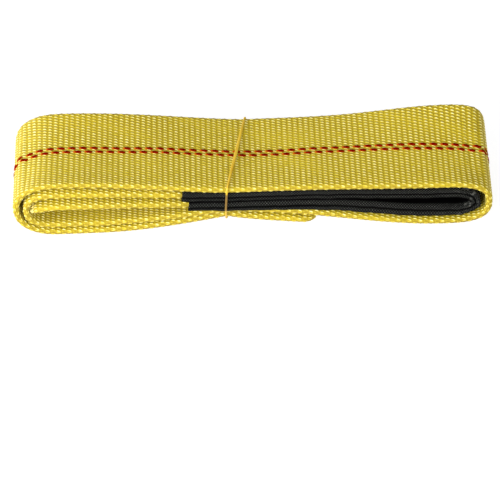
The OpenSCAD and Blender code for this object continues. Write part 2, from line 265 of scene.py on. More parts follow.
def bend(from_turn, to_turn, from_x, side, length, fullness):
    """A folded end, with the fullness of its front and back edge: 2 is an ellipse, more is squarer."""
    a = station(from_turn, from_x)
    b = station(to_turn, from_x)
    rows = []
    for turned in np.linspace(0, math.pi, BEND_STEPS + 1)[:-1]:
        reach = math.sin(turned) ** (2 / fullness[0])
        rows.append([
            from_x + side * length * reach,
            mix(a[1], b[1], turned / math.pi),
            mix(a[2], b[2], (1 - flank(reach, turned, fullness[0])) / 2),
            mix(a[3], b[3], (1 - flank(reach, turned, fullness[1])) / 2),
        ])
    return rows


class Winding:
    """The webbing's middle line with both of its edges, from the loose end to the tail.

    Its rows hold x, y, the front edge's z and the back edge's z. EVEN is the distance between rows. SOFTEN
    counts the rows to either side that soften the joins of legs and bends. Below FLAT_Z it flattens on the
    floor.
    """

    EVEN = 0.5
    SOFTEN = 5
    FLAT_Z = 0.3

    def __init__(self, stations):
        rows = np.array(stations)
        along = self.run(rows)
        even = np.linspace(0, along[-1], int(along[-1] / self.EVEN))
        rows = np.column_stack([np.interp(even, along, column) for column in rows.T])
        reach = np.hanning(2 * self.SOFTEN + 3)[1:-1]
        reach = reach / reach.sum()
        padded = np.pad(rows, ((self.SOFTEN, self.SOFTEN), (0, 0)), mode="reflect", reflect_type="odd")
        self.rows = np.column_stack([np.convolve(column, reach, "valid") for column in padded.T])
        self.along = self.run(self.rows)
        self.length = self.along[-1]
        self.normals = np.column_stack([self.edge_normals(2), self.edge_normals(3)])
        self.sunk = np.zeros(len(rows))

    @staticmethod
    def run(rows):
        middle = np.column_stack((rows[:, 0], (rows[:, 2] + rows[:, 3]) / 2))
        steps = np.linalg.norm(np.diff(middle, axis=0), axis=1)
        return np.concatenate(([0], np.cumsum(steps)))

    def edge_normals(self, edge):
        dx = np.gradient(self.rows[:, 0])
        dz = np.gradient(self.rows[:, edge])
        return np.column_stack((-dz, dx)) / np.hypot(dx, dz)[:, None]

    def place(self, along, across, outward):
        """Points in metres for places along the webbing, across it and out from its middle line."""
        def at(columns):
            return (np.interp(along, self.along, column) for column in columns.T)

        x, y, front_z, back_z = at(self.rows)
        front_x, front_up, back_x, back_up = at(self.normals)
        share = across / WEB_W + 0.5
        arch = 4 * share * (1 - share)
        outward = outward - np.interp(along, self.along, self.sunk) * arch
        z = mix(front_z, back_z, share) + mix(front_up, back_up, share) * outward
        flattened = self.FLAT_Z * np.exp(np.minimum(z, self.FLAT_Z) / self.FLAT_Z - 1)
        z = np.where(z < self.FLAT_Z, flattened, z)
        return np.column_stack((x + mix(front_x, back_x, share) * outward, y + across, z)) * MM

    def along_at(self, turn, x):
        """The place along the webbing where one of its turns passes x."""
        at = station(turn, x)
        return self.along[np.argmin(np.hypot(self.rows[:, 0] - x, self.rows[:, 2] - at[2]))]

    def sink_middle(self, turn, depths):
        """Lets the middle of one turn sink between its edges, by depths given at places along x."""
        places = [self.along_at(turn, x) for x, depth in depths]
        self.sunk = np.interp(self.along, places, [depth for x, depth in depths], left=0, right=0)


winding = Winding(
    leg(FREE, FREE_X, WAIST_X)
    + leg(FREE, WAIST_X, LEFT_BEND_X)
    + bend(FREE, TOP, LEFT_BEND_X, -1, LEFT_BEND_A, LEFT_FULLNESS)
    + leg(TOP, LEFT_BEND_X, WAIST_X)
    + leg(TOP, WAIST_X, RIGHT_BEND_X)
    + bend(TOP, RETURN, RIGHT_BEND_X, 1, RIGHT_BEND_A, RIGHT_FULLNESS)
    + leg(RETURN, RIGHT_BEND_X, WAIST_X)
    + leg(RETURN, WAIST_X, LEFT_BEND_X)
    + bend(RETURN, UPPER, LEFT_BEND_X, -1, INNER_BEND_A, INNER_FULLNESS)
    + leg(UPPER, LEFT_BEND_X, WAIST_X)
    + leg(UPPER, WAIST_X, EYE_BEND_X)
    + bend(UPPER, LOWER, EYE_BEND_X, 1, EYE_BEND_A, ELLIPSE)
    + leg(LOWER, EYE_BEND_X, WAIST_X)
    + leg(LOWER, WAIST_X, TAIL_X)
    + [station(LOWER, TAIL_X)]
)
winding.sink_middle(TOP, TOP_SUNK)


# Nodes of the finishes, and the UV map that the woven ones read

WEAVE = "weave"


class Wire:
    """A socket of a finish. Arithmetic on it adds Math nodes."""

    def __init__(self, finish, socket):
        self.finish = finish
        self.socket = socket

    def math(self, operation, *values):
        return self.finish.node("ShaderNodeMath", {"operation": operation}, dict(enumerate(values)))

    def __add__(self, other):
        return self.math("ADD", self, other)

    __radd__ = __add__

    def __sub__(self, other):
        return self.math("SUBTRACT", self, other)

    def __rsub__(self, other):
        return self.math("SUBTRACT", other, self)

    def __mul__(self, other):
        return self.math("MULTIPLY", self, other)

    __rmul__ = __mul__

    def __abs__(self):
        return self.math("ABSOLUTE", self)

    def sine(self):
        return self.math("SINE", self)

    def cosine(self):
        return self.math("COSINE", self)

    def part(self):
        return self.math("FRACT", self)

    def whole(self):
        return self.math("FLOOR", self)

    def at_least(self, other):
        return self.math("MAXIMUM", self, other)

    def step(self, low, high):
        """0 below low, 1 above high and smooth between them."""
        return self.finish.node(
            "ShaderNodeMapRange",
            {"interpolation_type": "SMOOTHSTEP"},
            {"Value": self, "From Min": low, "From Max": high},
        )


class Finish:
    """A procedural material and the nodes that make it."""

    def __init__(self, name, **constants):
        self.material = bpy.data.materials.new(name)
        self.material.use_nodes = True
        self.tree = self.material.node_tree
        self.shader = self.tree.nodes["Principled BSDF"]
        for socket, value in constants.items():
            self.shader.inputs[socket.replace("_", " ")].default_value = value

    def node(self, kind, settings=None, sockets=None, output=0):
        made = self.tree.nodes.new(kind)
        for name, value in (settings or {}).items():
            setattr(made, name, value)
        for key, value in (sockets or {}).items():
            self.feed(made.inputs[key], value)
        return Wire(self, made.outputs[output])

    def feed(self, socket, value):
        if isinstance(value, Wire):
            self.tree.links.new(value.socket, socket)
        else:
            socket.default_value = value

    def give(self, socket, value):
        self.feed(self.shader.inputs[socket], value)

    def blend(self, first, second, share):
        """One colour passing into another. Sockets 6 and 7 and output 2 are the Mix node's colours."""
        colours = {"Factor": share, 6: first, 7: second}
        return self.node("ShaderNodeMix", {"data_type": "RGBA"}, colours, output=2)

    def axis(self, where, name):
        return self.node("ShaderNodeSeparateXYZ", None, {0: where}, output=name)

    def lattice(self, along, round_):
        """Counts of threads along and round a woven piece, from its UV map."""
        uv = self.node("ShaderNodeUVMap", {"uv_map": WEAVE})
        return self.axis(uv, "X") * along, self.axis(uv, "Y") * round_

    def joined(self, x, y):
        return self.node("ShaderNodeCombineXYZ", None, {0: x, 1: y})

    def noise(self, where, scale, detail):
        return self.node("ShaderNodeTexNoise", None, {"Vector": where, "Scale": scale, "Detail": detail})

    def object_place(self):
        return self.node("ShaderNodeTexCoord", output="Object")

    def bump(self, height, deep, strength):
        relief = {"Height": height, "Distance": deep, "Strength": strength}
        self.give("Normal", self.node("ShaderNodeBump", None, relief))


def srgb(red, green, blue):
    """A colour written as screen values from 0 to 255."""
    shares = (red / 255, green / 255, blue / 255)
    linear = [((c + 0.055) / 1.055) ** 2.4 if c > 0.04 else c / 12.92 for c in shares]
    return (*linear, 1.0)


# Weave of the webbing: every second warp end floats over a weft column, and all lean by one end a column
COLUMNS = 406
WARP_ENDS = 120
LEAN = 1
COLUMN_L = winding.length / COLUMNS

# Its woven edges, within these shares of half the way round, have beads in place of floats
SELVEDGE_SHARES = (0.01, 0.018)
BEADS_PER_FLOAT = 0.85
BEAD_HEIGHT = 0.85

# Webbing colours. The low one is painted shade in the valleys between the floats
WEB_VALLEY_SHADE = srgb(158, 136, 3)
WEB_FLOAT = srgb(206, 185, 10)
# Painted shade between the beads of the woven edges
WEB_BEAD_SHADE = srgb(122, 98, 4)
# Painted highlight on the crowns of the floats
WEB_CROWN_HIGHLIGHT = srgb(255, 250, 182)
WEB_DULL = srgb(188, 165, 8)


def webbing_finish():
    cloth = Finish("yellow_webbing", Sheen_Weight=0.03, Sheen_Roughness=0.4, Specular_IOR_Level=0.4)
    column, end = cloth.lattice(COLUMNS, WARP_ENDS)
    rib = (column.part() * math.pi).sine()
    over = (end * math.pi).cosine()
    round_end = end + column * LEAN
    selvedge = 1 - abs((round_end * (2 / WARP_ENDS)).part() - 0.5).step(*SELVEDGE_SHARES)
    beads = ((round_end * BEADS_PER_FLOAT + column.whole()) * math.pi).cosine()
    rows = over * (1 - selvedge) + beads * selvedge * BEAD_HEIGHT
    floats = rows.step(-0.3, 0.7) * rib.step(0.1, 0.7) * (1 - selvedge * 0.45)
    # Painted highlights on the crowns of the floats, broken up by the strand noise
    crown_highlight = rows.step(0.3, 0.9) * rib.step(0.55, 0.95) * (1 - selvedge * 0.7)
    strand = cloth.noise(cloth.joined(column * 0.8, end * 0.5), 1.0, 2.0)
    patch = cloth.noise(cloth.joined(column * 0.05, end * 0.09), 1.0, 2.0)
    # Painted shade between the beads of the woven edges
    bead_gap_shade = selvedge * (1 - beads.step(-0.8, 0.2) * rib.step(0.05, 0.6))
    # Painted shade in the valleys between the floats, the float colour on the floats
    yarn = cloth.blend(WEB_VALLEY_SHADE, WEB_FLOAT, floats)
    bead_shaded = cloth.blend(yarn, WEB_BEAD_SHADE, bead_gap_shade * 0.5)
    highlighted = cloth.blend(bead_shaded, WEB_CROWN_HIGHLIGHT, crown_highlight * strand.step(0.3, 0.64))
    cloth.give("Base Color", cloth.blend(highlighted, WEB_DULL, patch.step(0.45, 0.75) * 0.45))
    cloth.give("Roughness", 0.68 - floats * 0.28)
    filaments = (end * (math.pi * 8)).sine() * 0.1
    face = rib * 0.5 + over.at_least(-0.5) * rib * (1 + filaments)
    edge = (beads * 0.5 + 0.5) * rib
    cloth.bump(face * (1 - selvedge) + edge * selvedge, 0.0004, 0.7)
    return cloth.material


TRACER_DEEP = srgb(80, 0, 0)
TRACER_RED = srgb(124, 5, 0)
TRACER_FRINGE = srgb(206, 88, 24)
TRACER_LIT = srgb(180, 44, 10)
TRACER_SUNK = srgb(198, 78, 22)


def tracer_finish(name, first):
    """Dark red on the floats, which lie over every second column from the first; orange where it dives."""
    yarn = Finish(name, Specular_IOR_Level=0.0)
    along, round_ = yarn.lattice(COLUMNS, 1)
    dive = 1 - ((along - first - 0.65) * math.pi).cosine().step(-0.9, 0.5)
    strands = ((round_ * 6 + along * 0.8) * (2 * math.pi)).sine()
    flank = (1 - abs((round_ * (4 * math.pi)).cosine())).step(0.55, 1.0)
    streak = yarn.noise(yarn.joined(along * 2.5, round_ * 8), 1.0, 3.0)
    deep = yarn.blend(TRACER_DEEP, TRACER_RED, streak.step(0.3, 0.7))
    fringe = yarn.blend(deep, TRACER_FRINGE, flank * 0.5)
    lit = yarn.blend(fringe, TRACER_LIT, strands.step(0.6, 1.0) * 0.2)
    yarn.give("Base Color", yarn.blend(lit, TRACER_SUNK, dive * 0.8))
    yarn.give("Roughness", 0.65 - streak * 0.1)
    yarn.bump(strands, 0.0001, 0.5)
    return yarn.material


SLEEVE_FROM = winding.along_at(UPPER, UPPER_SLEEVE_X)
SLEEVE_TO = winding.along_at(LOWER, LOWER_SLEEVE_X)
SLEEVE_L = SLEEVE_TO - SLEEVE_FROM
eye_span = (winding.along > SLEEVE_FROM) & (winding.along < SLEEVE_TO)
EYE_TIP = winding.along[eye_span][np.argmax(winding.rows[eye_span, 0])]
EYE_TIP_SHARE = (EYE_TIP - SLEEVE_FROM) / SLEEVE_L
SLEEVE_COLUMNS = 420
SLEEVE_ENDS = 180

SLEEVE_LOW = srgb(7, 7, 7)
SLEEVE_FLOAT = srgb(52, 53, 50)
SLEEVE_WORN = srgb(82, 83, 78)
SLEEVE_DUSTY = srgb(50, 50, 47)
# Painted highlight on the rumpled tip of the eye
SLEEVE_RUMPLE_HIGHLIGHT = srgb(76, 76, 72)
# Painted shade in the grooves of the edges and inside the eye
SLEEVE_SHADE = srgb(5, 5, 5)


def sleeve_finish():
    """Black cloth, with painted shade in the grooves of its edges and inside the eye, and painted highlights
    where the tip is rumpled.
    """
    cloth = Finish("black_sleeve", Specular_IOR_Level=0.0)
    column, end = cloth.lattice(SLEEVE_COLUMNS, SLEEVE_ENDS)
    over = (column * math.pi).sine() * (end * math.pi).cosine()
    from_groove = abs((end * (2 / SLEEVE_ENDS)).part() - 0.5)
    past_tip = column * (1 / SLEEVE_COLUMNS) - EYE_TIP_SHARE
    from_tip = abs(past_tip)
    low_leg = past_tip.step(-0.01, 0.02)
    narrowing = from_tip.step(0.05, 0.13) * 0.009 + from_tip.step(0.2, 0.32) * 0.01
    inner_edge = 0.26 + low_leg * (0.027 - narrowing)
    # Painted shade inside the eye, from a little past the lips
    inside_shade = (abs(end * (1 / SLEEVE_ENDS) - 0.5) - inner_edge).step(0.0, 0.012)
    lips = from_groove.step(0.004, 0.02) * (1 - inside_shade)
    speck = cloth.noise(cloth.joined(column, end), 0.7, 2.0)
    dust = cloth.noise(cloth.joined(column * 0.06, end * 0.1), 1.0, 3.0)
    yarn = cloth.blend(SLEEVE_LOW, SLEEVE_FLOAT, over.step(-0.3, 0.8))
    worn = cloth.blend(yarn, SLEEVE_WORN, over.step(0.3, 0.9) * speck.step(0.5, 0.7))
    dusty = cloth.blend(worn, SLEEVE_DUSTY, dust.step(0.55, 0.8) * 0.35)
    # Painted highlights in patches on the rumpled tip of the eye
    tip = 1 - from_tip.step(0.02, 0.05)
    crease_highlight_noise = cloth.noise(cloth.joined(column * 0.3, end * 0.3), 1.0, 3.0)
    rumple_highlighted = cloth.blend(dusty, SLEEVE_RUMPLE_HIGHLIGHT, tip * crease_highlight_noise.step(0.52, 0.62))
    # Painted shade in the grooves and inside the eye; the cloth's own colours on the lips
    cloth.give("Base Color", cloth.blend(SLEEVE_SHADE, rumple_highlighted, lips))
    cloth.give("Roughness", 0.62 + speck * 0.15)
    cloth.bump(over, 0.0002, 0.6)
    return cloth.material


FRAY_YELLOW = srgb(206, 182, 44)
FRAY_PALE = srgb(250, 238, 160)


def fray_finish():
    yarn = Finish("loose_yarn", Specular_IOR_Level=0.3)
    streak = yarn.noise(yarn.object_place(), 700.0, 3.0)
    yarn.give("Base Color", yarn.blend(FRAY_YELLOW, FRAY_PALE, streak.step(0.35, 0.65)))
    yarn.give("Roughness", 0.65 - streak * 0.15)
    return yarn.material


THREAD_YELLOW = srgb(196, 170, 60)
THREAD_PALE = srgb(232, 212, 118)


def thread_finish():
    thread = Finish("sewing_thread", Sheen_Weight=0.15, Sheen_Roughness=0.4, Specular_IOR_Level=0.4)
    where = thread.object_place()
    streak = thread.noise(where, 900.0, 3.0)
    lay = {"Vector": where, "Scale": 420.0}
    twist = thread.node("ShaderNodeTexWave", {"bands_direction": "DIAGONAL"}, lay)
    thread.give("Base Color", thread.blend(THREAD_YELLOW, THREAD_PALE, streak.step(0.3, 0.7)))
    thread.give("Roughness", 0.6 - streak * 0.15)
    thread.bump(twist, 0.00015, 0.6)
    return thread.material


RUBBER_AMBER = srgb(186, 150, 30)
RUBBER_PALE = srgb(204, 170, 44)
RUBBER_MOTTLE = srgb(168, 128, 20)
# Painted shade where the band lies over the black sleeve
RUBBER_SHADE_ON_SLEEVE = srgb(112, 84, 22)

# Where the band crosses the sleeve, in metres: its sides, and the sleeve's lower and upper edge
BAND_SIDE_Y = (0.0238, 0.0248)
SLEEVE_FOOT_Z = (0.0105, 0.0125)
SLEEVE_TOP_Z = (0.0215, 0.0235)


def rubber_finish():
    """Amber rubber, with painted shade where it lies over the black sleeve, standing in for the sleeve
    showing through it.
    """
    rubber = Finish("band_rubber", Specular_IOR_Level=0.4, Subsurface_Weight=0.1, Subsurface_Scale=0.001)
    where = rubber.object_place()
    cloud = rubber.noise(where, 120.0, 3.0)
    grain = rubber.noise(where, 1800.0, 2.0)
    amber = rubber.blend(RUBBER_AMBER, RUBBER_PALE, cloud.step(0.3, 0.7))
    mottled = rubber.blend(amber, RUBBER_MOTTLE, grain.step(0.6, 0.8) * 0.5)
    side = abs(rubber.axis(where, "Y")).step(*BAND_SIDE_Y)
    height = rubber.axis(where, "Z")
    # Painted shade where the band lies over the black sleeve
    shade_on_sleeve = side * height.step(*SLEEVE_FOOT_Z) * (1 - height.step(*SLEEVE_TOP_Z))
    rubber.give("Base Color", rubber.blend(mottled, RUBBER_SHADE_ON_SLEEVE, shade_on_sleeve))
    rubber.give("Roughness", 0.42 + cloud * 0.2)
    rubber.bump(grain, 0.00008, 0.5)
    return rubber.material


# Pieces

def linked(name, bm, material):
    mesh = bpy.data.meshes.new(name)
    bm.to_mesh(mesh)
    bm.free()
    mesh.materials.append(material)
    piece = bpy.data.objects.new(name, mesh)
    bpy.context.collection.objects.link(piece)
    return piece


def finished(name, bm, material, body):
    for face in bm.faces:
        face.smooth = True
    piece = linked(name, bm, material)
    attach(piece, body)
    return piece


MERGE_M = 1e-7


def wound_grid(along_steps, round_steps, shape):
    """A grid wound into a tube: shape gives points for shares along it and round it."""
    bm = bmesh.new()
    bm.loops.layers.uv.new(WEAVE)
    bmesh.ops.create_grid(
        bm, x_segments=along_steps, y_segments=round_steps, size=0.5, calc_uvs=True)
    shares = np.array([vert.co[:2] for vert in bm.verts]) + 0.5
    points = shape(shares[:, 0], np.rint(shares[:, 1] * round_steps) % round_steps / round_steps)
    for vert, point in zip(bm.verts, points):
        vert.co = point
    # The first and the last row round the tube meet there
    on_seam = np.abs(shares[:, 1] - 0.5) > 0.5 - 0.1 / round_steps
    seam = [vert for vert, on in zip(bm.verts, on_seam) if on]
    bmesh.ops.remove_doubles(bm, verts=seam, dist=MERGE_M)
    return bm


def close_ends(bm):
    bmesh.ops.holes_fill(bm, edges=[edge for edge in bm.edges if edge.is_boundary], sides=0)
    bmesh.ops.recalc_face_normals(bm, faces=bm.faces)


def ring_walk(corners, shares):
    """The columns of a closed ring's corners, such as places and directions, at shares of its way round."""
    ring = np.array(corners + corners[:1])
    steps = np.linalg.norm(np.diff(ring[:, :2], axis=0), axis=1)
    along = np.concatenate(([0], np.cumsum(steps)))
    return [np.interp(shares * along[-1], along, column) for column in ring.T]


CORNER_STEPS = 8


def rounded_corners(half_w, half_t, r):
    """Corner arcs of a rounded rectangle with their directions, from the middle of its inner face."""
    corners = [[0, -half_t, 0, -1]]
    for side, up, start in ((1, -1, -90), (1, 1, 0), (-1, 1, 90), (-1, -1, 180)):
        for i in range(CORNER_STEPS + 1):
            turned = math.radians(start + 90 * i / CORNER_STEPS)
            c, s = math.cos(turned), math.sin(turned)
            corners.append([side * (half_w - r) + r * c, up * (half_t - r) + r * s, c, s])
    return corners


# Relief of the weave in millimetres, the share of it that the edges lack, and the thinning of the cut ends
FLOAT_RISE = 0.14
SINK = 0.06
BETWEEN = 0.22
TRACER_BED = 0.04
TRACER_BED_REACH = 0.8
EDGE_EVENNESS = 0.7
CUT_THINNING = 0.3
CUT_REACH = 0.6


def webbing_shape(u, v):
    along = u * winding.length
    turned = (v + LEAN * u * COLUMNS / WARP_ENDS) % 1
    section = rounded_corners(WEB_W / 2, WEB_T / 2, SELVEDGE_R)
    across, outward, side, up = ring_walk(section, turned)
    half_columns = np.rint(u * 2 * COLUMNS).astype(int)
    ends = np.rint(v * WARP_ENDS).astype(int)
    relief = np.where(half_columns % 2 == 1, np.where(ends % 2 == 0, FLOAT_RISE, -SINK), -BETWEEN)
    relief = relief * (1 - EDGE_EVENNESS * np.abs(side))
    bed = np.exp(-((np.abs(across) - TRACER_SPACE / 2) / TRACER_BED_REACH) ** 2)
    relief = relief - TRACER_BED * bed
    from_end = np.clip(FREE_CORNER_R - along, 0, FREE_CORNER_R)
    inset = FREE_CORNER_R - np.sqrt(FREE_CORNER_R ** 2 - from_end ** 2)
    across = (across + side * relief) * (1 - inset / (WEB_W / 2))
    cut = np.minimum(along, winding.length - along)
    thin = 1 - CUT_THINNING * np.exp(-cut / CUT_REACH)
    return winding.place(along, across, (outward + up * relief) * thin)


def add_webbing(finish):
    bm = wound_grid(2 * COLUMNS, WARP_ENDS, webbing_shape)
    close_ends(bm)
    return finished("woven_webbing", bm, finish, "sling")


FRAY_COUNT = 140
FRAY_L = (1.3, 3.0)
FRAY_D = 0.34
FRAY_INSET = 0.6
FRAY_STRAY = 0.2
FRAY_SPREAD = 0.75
FRAY_OUT = 0.35
FRAY_ROOT = 1
FRAY_SIDEWAYS = (-0.4, 0.4)
FRAY_UPWARD = (-0.45, 0.1)
FRAY_SIDES = 6
FRAY_SEED = 11


def add_fray(finish):
    """Short loose yarns on the tail's cut end."""
    bm = bmesh.new()
    chance = np.random.default_rng(FRAY_SEED)
    across = np.linspace(-WEB_W / 2 + FRAY_INSET, WEB_W / 2 - FRAY_INSET, FRAY_COUNT)
    across = across + chance.uniform(-FRAY_STRAY, FRAY_STRAY, FRAY_COUNT)
    outward = chance.uniform(-FRAY_SPREAD, FRAY_SPREAD, FRAY_COUNT) * WEB_T / 2
    ends = winding.place(np.full(FRAY_COUNT, winding.length), across, outward)
    before = winding.place(np.full(FRAY_COUNT, winding.length - FRAY_ROOT), across, outward)
    for end, back in zip(ends, before):
        length = chance.uniform(*FRAY_L) * MM
        stray = Vector((0, chance.uniform(*FRAY_SIDEWAYS), chance.uniform(*FRAY_UPWARD)))
        way = Vector(end - back).normalized() + stray
        lie = way.to_track_quat("Z", "Y").to_matrix().to_4x4()
        middle = Matrix.Translation(Vector(end) + way.normalized() * length * FRAY_OUT)
        bmesh.ops.create_cone(
            bm, cap_ends=True, segments=FRAY_SIDES, radius1=FRAY_D / 2 * MM, radius2=FRAY_D / 4 * MM,
            depth=length, matrix=middle @ lie)
    return finished("tail_fray", bm, finish, "sling")


# A tracer yarn floats over one column and dives under the next
TRACER_STEPS = 12
TRACER_ROUND = 8
TRACER_LEAN = 0.15
TRACER_PROUD = 0.06
TRACER_HALF_T = 0.26
TRACER_LEAST_W = 0.08
TRACER_DIVE_AT = 0.88
TRACER_STEEPNESS = 7
TRACER_SHOWN_AT = 0.9
TRACER_SHOWN_LAG = 0.2
TRACER_BLUNTNESS = 0.65


def add_tracer(name, side, first, finish):
    def shape(u, v):
        along = u * winding.length
        phase = math.pi * (along / COLUMN_L - first - 0.5)
        dive = np.tanh(TRACER_STEEPNESS * (np.cos(phase) + TRACER_DIVE_AT))
        shown = (np.cos(phase - TRACER_SHOWN_LAG) + TRACER_SHOWN_AT) / (1 + TRACER_SHOWN_AT)
        shown = np.clip(shown, 0, 1) ** TRACER_BLUNTNESS
        half_w = TRACER_W / 2 * mix(TRACER_LEAST_W, 1, shown)
        turned = 2 * math.pi * v
        across = side * TRACER_SPACE / 2 + half_w * np.cos(turned) - TRACER_LEAN * np.sin(phase)
        outward = (WEB_T / 2 + TRACER_PROUD) * dive + TRACER_HALF_T * np.sin(turned)
        return winding.place(along, across, outward)

    bm = wound_grid(COLUMNS * TRACER_STEPS // 2, TRACER_ROUND, shape)
    close_ends(bm)
    return finished(name, bm, finish, "sling")


# The sleeve in millimetres. Places along it count from the tip of the eye, and are negative on the upper leg
SLEEVE_GROOVE = WEB_W / 2 + 0.35
SLEEVE_LIP = 0.6
SLEEVE_WALL = 0.3
SLEEVE_STEPS = 360
SLEEVE_ROUND = 120
LIP_STEPS = 12
LIPS_FROM = 0.97
BULGE_AT = (8, 26, 45, 118)
INNER_BULGE = 1.2
OUTER_BULGE = 0.5
DROOP_AT = (70, 95, 115, 140)
DROOP = 0.8
GROOVE_AT = (-95, -60, -8, 8, 20, 55, 95)
GROOVE_SHIFT = (0.2, 0.6, 0.6, -0.7, -0.7, -0.7, 0.7)
BUNCHED_REACH = 9
RIPPLE = 0.06
CRUMPLE = 0.14
LIP_CRUMPLE = 0.32
RIPPLED_FROM = 0.4

# Waves of its cloth: height, run along for one radian, slants across and outward, and start
CLOTH_WAVES = ((1, 1.15, 0.11, 0, 0), (0.8, 0.73, -0.16, 0, 1.3), (0.6, 2.9, 0.07, 0, 0.4))
CLOTH_WAVES_H = 2.4
TIP_WAVES = ((1, 0.47, 0.3, 0, 0), (1, 0.71, 0, -1.1, 0), (1, 1.3, 0, 0, 2.1))
LIP_WAVES = ((0.22, 5.3, 0, 0, 0.6), (0.14, 2.1, 0, 0, 0))


def lipped_corners():
    """A sleeve's ring: two faces, and on each edge two rolled lips with a groove between them."""
    half = SLEEVE_HALF_T / 2
    edge = []
    for middle in (-half, half):
        for i in range(LIP_STEPS + 1):
            turned = math.radians(-90 + 180 * i / LIP_STEPS)
            edge.append([SLEEVE_GROOVE + SLEEVE_LIP * math.cos(turned), middle + half * math.sin(turned)])
    return [[0, -SLEEVE_HALF_T]] + edge + [[-x, -y] for x, y in edge]


def hump(x, places):
    """0 outside the first and last place, 1 between the two inner ones."""
    return np.interp(x, places, [0, 1, 1, 0])


def waved(waves, along, across, outward):
    return sum(
        height * np.sin(along / run + slant * across + roll * outward + start)
        for height, run, slant, roll, start in waves
    )


def sleeve_shape(u, v):
    along = SLEEVE_FROM + u * SLEEVE_L
    across, outward = ring_walk(lipped_corners(), v)
    past_tip = along - EYE_TIP
    bulge = np.where(outward < 0, INNER_BULGE, OUTER_BULGE) * hump(past_tip, BULGE_AT)
    outward = outward * (1 + bulge / SLEEVE_HALF_T)
    rolling = waved(CLOTH_WAVES, along, across, outward) / CLOTH_WAVES_H
    bunched = np.exp(-(past_tip / BUNCHED_REACH) ** 2) * waved(TIP_WAVES, along, across, outward)
    ripple = RIPPLE * (1 + rolling) + CRUMPLE * bunched
    on_lips = np.abs(across) / SLEEVE_GROOVE > LIPS_FROM
    groove = np.interp(past_tip, GROOVE_AT, GROOVE_SHIFT)
    groove = groove * np.cos(math.pi / 2 * outward / SLEEVE_HALF_T).clip(0)
    outward = outward + np.where(on_lips, groove, 0)
    droop = DROOP * hump(past_tip, DROOP_AT) * (outward / SLEEVE_HALF_T).clip(0, 1)
    outward = outward + np.where(on_lips & (outward > 0), droop, 0)
    lips = waved(LIP_WAVES, along, across, outward) + LIP_CRUMPLE * bunched
    across = across + np.sign(across) * np.where(on_lips, np.abs(lips), 0)
    ripple = np.where(np.abs(outward) > RIPPLED_FROM, ripple, 0)
    return winding.place(along, across, outward + np.sign(outward) * ripple)


def add_sleeve(finish):
    bm = wound_grid(SLEEVE_STEPS, SLEEVE_ROUND, sleeve_shape)
    bmesh.ops.recalc_face_normals(bm, faces=bm.faces)
    bmesh.ops.solidify(bm, geom=bm.faces[:], thickness=SLEEVE_WALL * MM)
    return finished("eye_sleeve_cloth", bm, finish, "sling")


def face_z(turn, x, y, outward):
    """Height of a turn at a place across it, outward from its middle line."""
    row = station(turn, x)
    return mix(row[2], row[3], (y - row[1]) / WEB_W + 0.5) + outward


BAND_TOP_Z = WAIST_Z[TOP] + WEB_T / 2
BAND_STATIONS = 9
BAND_SEGMENTS = 32
BAND_ROUND = 0.3
BAND_ROUND_STEPS = 3
FLAT_COSINE = 0.9
RIM_ANGLE = 1.0


def band_lag(z):
    return (BAND_TOP_Z - z) * math.tan(BAND_LEAN)


def band_point(turn, side, up, grow):
    """A point of the stack of turns in the band's slanted and leaning plane."""
    at = WAIST_X + side * WAIST_SKEW
    x = at - band_lag(station(turn, at)[2])
    y = station(turn, x)[1] + side * (WEB_W / 2 + grow - BAND_INSET)
    z = face_z(turn, x, y, up * (WEB_T / 2 + grow - BAND_INSET))
    along = (y - band_lag(z) * math.sin(BAND_SLANT)) / math.cos(BAND_SLANT)
    height = (z - BAND_TOP_Z) / math.cos(BAND_LEAN)
    return along, height


def add_band(finish):
    """A rubber ring stretched round the waist: circles on every turn, hulled, opened and given a wall."""
    bm = bmesh.new()
    radius = BAND_INSET + BAND_GAP + BAND_T
    to_plane = (
        Matrix.Translation((WAIST_X * MM, 0, BAND_TOP_Z * MM))
        @ Matrix.Rotation(math.pi / 2 - BAND_SLANT, 4, "Z")
        @ Matrix.Rotation(math.pi / 2 + BAND_LEAN, 4, "X")
    )
    for turn in (FREE, RETURN, LOWER, UPPER, TOP):
        grow = COVER if turn in (LOWER, UPPER) else 0
        for side in np.linspace(-1, 1, BAND_STATIONS):
            for up in (-1, 1):
                along, height = band_point(turn, side, up, grow)
                half_w = mix(BAND_W, BAND_EDGE_W, abs(side)) / 2
                for half in (-half_w, half_w):
                    place = Matrix.Translation((along * MM, height * MM, half * MM))
                    bmesh.ops.create_circle(
                        bm, segments=BAND_SEGMENTS, radius=radius * MM, matrix=to_plane @ place)
    hull = bmesh.ops.convex_hull(bm, input=bm.verts[:])
    spare = {
        item for item in hull["geom_interior"] + hull["geom_unused"] if isinstance(item, bmesh.types.BMVert)
    }
    bmesh.ops.delete(bm, geom=list(spare), context="VERTS")
    axis = (to_plane.to_3x3() @ Vector((0, 0, 1))).normalized()
    bm.normal_update()
    flat = [face for face in bm.faces if abs(face.normal.dot(axis)) > FLAT_COSINE]
    bmesh.ops.delete(bm, geom=flat, context="FACES")
    bmesh.ops.recalc_face_normals(bm, faces=bm.faces)
    bmesh.ops.solidify(bm, geom=bm.faces[:], thickness=BAND_T * MM)
    bm.normal_update()
    rims = [e for e in bm.edges if len(e.link_faces) == 2 and e.calc_face_angle(0) > RIM_ANGLE]
    bmesh.ops.bevel(
        bm, geom=rims, offset=BAND_ROUND * MM, affect="EDGES", segments=BAND_ROUND_STEPS, profile=0.5,
        material=-1)
    return finished("rubber_band", bm, finish, "band")


SPLICE_FROM_X = LEFT_BEND_X + 2 * THREAD_D
SPLICE_TO_X = UPPER_SLEEVE_X - SPLICE_INSET
SPLICE_Y = (LEFT_DRIFT[LOWER] + LEFT_DRIFT[UPPER]) / 2
STITCH_BED = 0.05
STITCH_SHARE = 0.96
STITCH_SIDES = 8
STITCH_RINGS = 6


